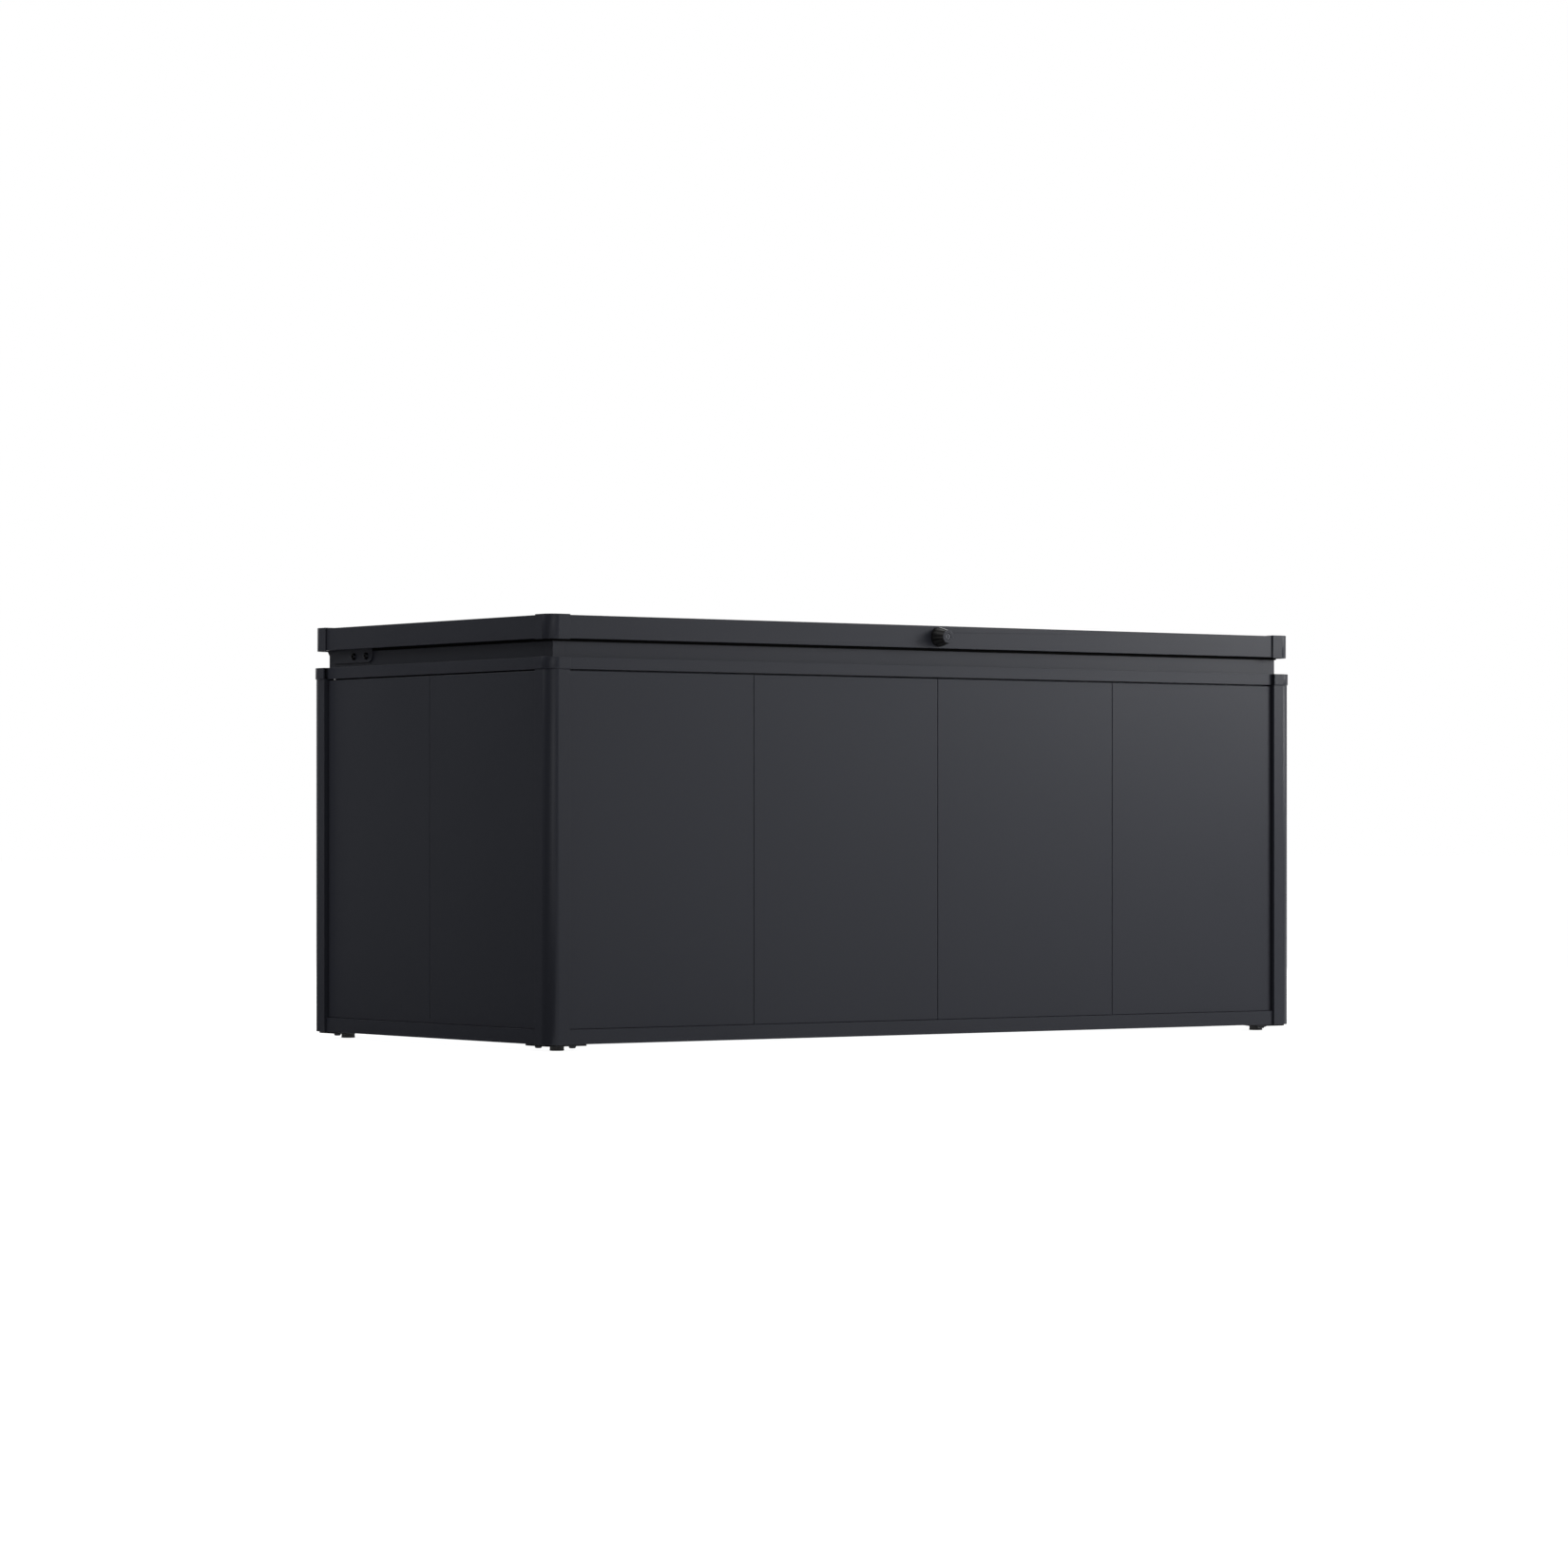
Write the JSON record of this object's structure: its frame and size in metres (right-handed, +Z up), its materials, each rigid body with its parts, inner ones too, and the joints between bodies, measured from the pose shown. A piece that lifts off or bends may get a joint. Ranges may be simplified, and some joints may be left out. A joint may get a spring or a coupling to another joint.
{
  "type": "garden storage box",
  "caption": "Long metal garden storage chest with a hinged, gas-strut lid, a recessed neck under the lid, a turning front lock, wall panels between rounded corner posts and levelling feet.",
  "frame": {"origin": "on the ground, below the middle of the whole box with its knob and corner caps", "axes": "+X to the right along the front, +Y to the rear, +Z up"},
  "size_m": [1.8064, 0.8726, 0.8015],
  "materials": {
    "frame_coat": "anthracite powder coat, satin",
    "panel_coat": "anthracite powder coat, satin",
    "corner_caps": "anthracite powder coat on formed corner pieces",
    "dark_hardware": "dark coated steel plate",
    "screw_steel": "blackened zinc on button head screws",
    "zinc_hardware": "zinc plated steel",
    "floor_zinc": "galvanised sheet",
    "foot_plastic": "black, matt",
    "strut_black": "black lacquered tube",
    "strut_chrome": "polished rod",
    "knob_black": "black, satin",
    "key_steel": "dark nickel face"
  },
  "bodies": {
    "body": {"bottom_rail_front": "frame_coat", "bottom_rail_left": "frame_coat", "bottom_rail_rear": "frame_coat", "bottom_rail_right": "frame_coat", "corner_post_front_left": "frame_coat", "corner_post_front_right": "frame_coat", "corner_post_rear_left": "frame_coat", "corner_post_rear_right": "frame_coat", "floor_sheet": "floor_zinc", "foot_plate_front_left": "dark_hardware", "foot_plate_front_right": "dark_hardware", "foot_plate_rear_left": "dark_hardware", "foot_plate_rear_right": "dark_hardware", "frame_screws": "screw_steel", "front_panel_1": "panel_coat", "front_panel_2": "panel_coat", "front_panel_3": "panel_coat", "front_panel_4": "panel_coat", "hinge_plate_left": "frame_coat", "hinge_plate_right": "frame_coat", "left_panel_front": "panel_coat", "left_panel_rear": "panel_coat", "lock_keeper": "zinc_hardware", "rear_panel_left": "panel_coat", "rear_panel_right": "panel_coat", "right_panel_front": "panel_coat", "right_panel_rear": "panel_coat", "strut_studs": "zinc_hardware", "top_corner_front_left": "corner_caps", "top_corner_front_right": "corner_caps", "top_corner_rear_left": "corner_caps", "top_corner_rear_right": "corner_caps", "top_rail_front": "frame_coat", "top_rail_left": "frame_coat", "top_rail_rear": "frame_coat", "top_rail_right": "frame_coat"},
    "lid": {"hinge_arm_left": "frame_coat", "hinge_arm_right": "frame_coat", "lid_corner_front_left": "corner_caps", "lid_corner_front_right": "corner_caps", "lid_corner_rear_left": "corner_caps", "lid_corner_rear_right": "corner_caps", "lid_rail_front": "frame_coat", "lid_rail_left": "frame_coat", "lid_rail_rear": "frame_coat", "lid_rail_right": "frame_coat", "lid_sheet_left": "panel_coat", "lid_sheet_right": "panel_coat", "strut_hangers": "zinc_hardware"},
    "knob": {"knob": "knob_black", "latch_cam": "zinc_hardware"},
    "key": {"key_cylinder": "key_steel"},
    "strut_cylinder_left": {"strut_cylinder_left": "strut_black"},
    "strut_rod_left": {"strut_rod_left": "strut_chrome"},
    "strut_cylinder_right": {"strut_cylinder_right": "strut_black"},
    "strut_rod_right": {"strut_rod_right": "strut_chrome"},
    "foot_front_left": {"levelling_foot_front_left": "foot_plastic"},
    "foot_front_right": {"levelling_foot_front_right": "foot_plastic"},
    "foot_rear_right": {"levelling_foot_rear_right": "foot_plastic"},
    "foot_rear_left": {"levelling_foot_rear_left": "foot_plastic"}
  },
  "joints": [
    {"name": "lid_hinge", "type": "hinge", "parent": "body", "child": "lid", "pos_m": [0, 0.4211, 0.765], "axis": [-1, 0, 0], "range_deg": [0, 75]},
    {"name": "knob_turn", "type": "hinge", "parent": "lid", "child": "knob", "pos_m": [0, -0.4069, 0.7785], "axis": [0, -1, 0], "range_deg": [0, 90]},
    {"name": "key_turn", "type": "hinge", "parent": "knob", "child": "key", "pos_m": [0, -0.4299, 0.7785], "axis": [0, -1, 0], "range_deg": [0, 90]},
    {"name": "strut_cylinder_left_pivot", "type": "hinge", "parent": "body", "child": "strut_cylinder_left", "pos_m": [-0.84, 0.31849, 0.48309], "axis": [-1, 0, 0], "range_deg": [0, 37.5]},
    {"name": "strut_rod_left_pivot", "type": "hinge", "parent": "lid", "child": "strut_rod_left", "pos_m": [-0.84, 0.1211, 0.765], "axis": [-1, 0, 0], "range_deg": [-37.5, 0]},
    {"name": "strut_cylinder_right_pivot", "type": "hinge", "parent": "body", "child": "strut_cylinder_right", "pos_m": [0.84, 0.31849, 0.48309], "axis": [-1, 0, 0], "range_deg": [0, 37.5]},
    {"name": "strut_rod_right_pivot", "type": "hinge", "parent": "lid", "child": "strut_rod_right", "pos_m": [0.84, 0.1211, 0.765], "axis": [-1, 0, 0], "range_deg": [-37.5, 0]},
    {"name": "foot_front_left_level", "type": "slide", "parent": "body", "child": "foot_front_left", "axis": [0, 0, -1], "range_m": [0, 0.01]},
    {"name": "foot_front_right_level", "type": "slide", "parent": "body", "child": "foot_front_right", "axis": [0, 0, -1], "range_m": [0, 0.01]},
    {"name": "foot_rear_right_level", "type": "slide", "parent": "body", "child": "foot_rear_right", "axis": [0, 0, -1], "range_m": [0, 0.01]},
    {"name": "foot_rear_left_level", "type": "slide", "parent": "body", "child": "foot_rear_left", "axis": [0, 0, -1], "range_m": [0, 0.01]}
  ],
  "couplings": [
    {"joint": "strut_cylinder_left_pivot", "follows": "lid_hinge", "ratio": 0.5},
    {"joint": "strut_rod_left_pivot", "follows": "lid_hinge", "ratio": -0.5},
    {"joint": "strut_cylinder_right_pivot", "follows": "lid_hinge", "ratio": 0.5},
    {"joint": "strut_rod_right_pivot", "follows": "lid_hinge", "ratio": -0.5}
  ]
}
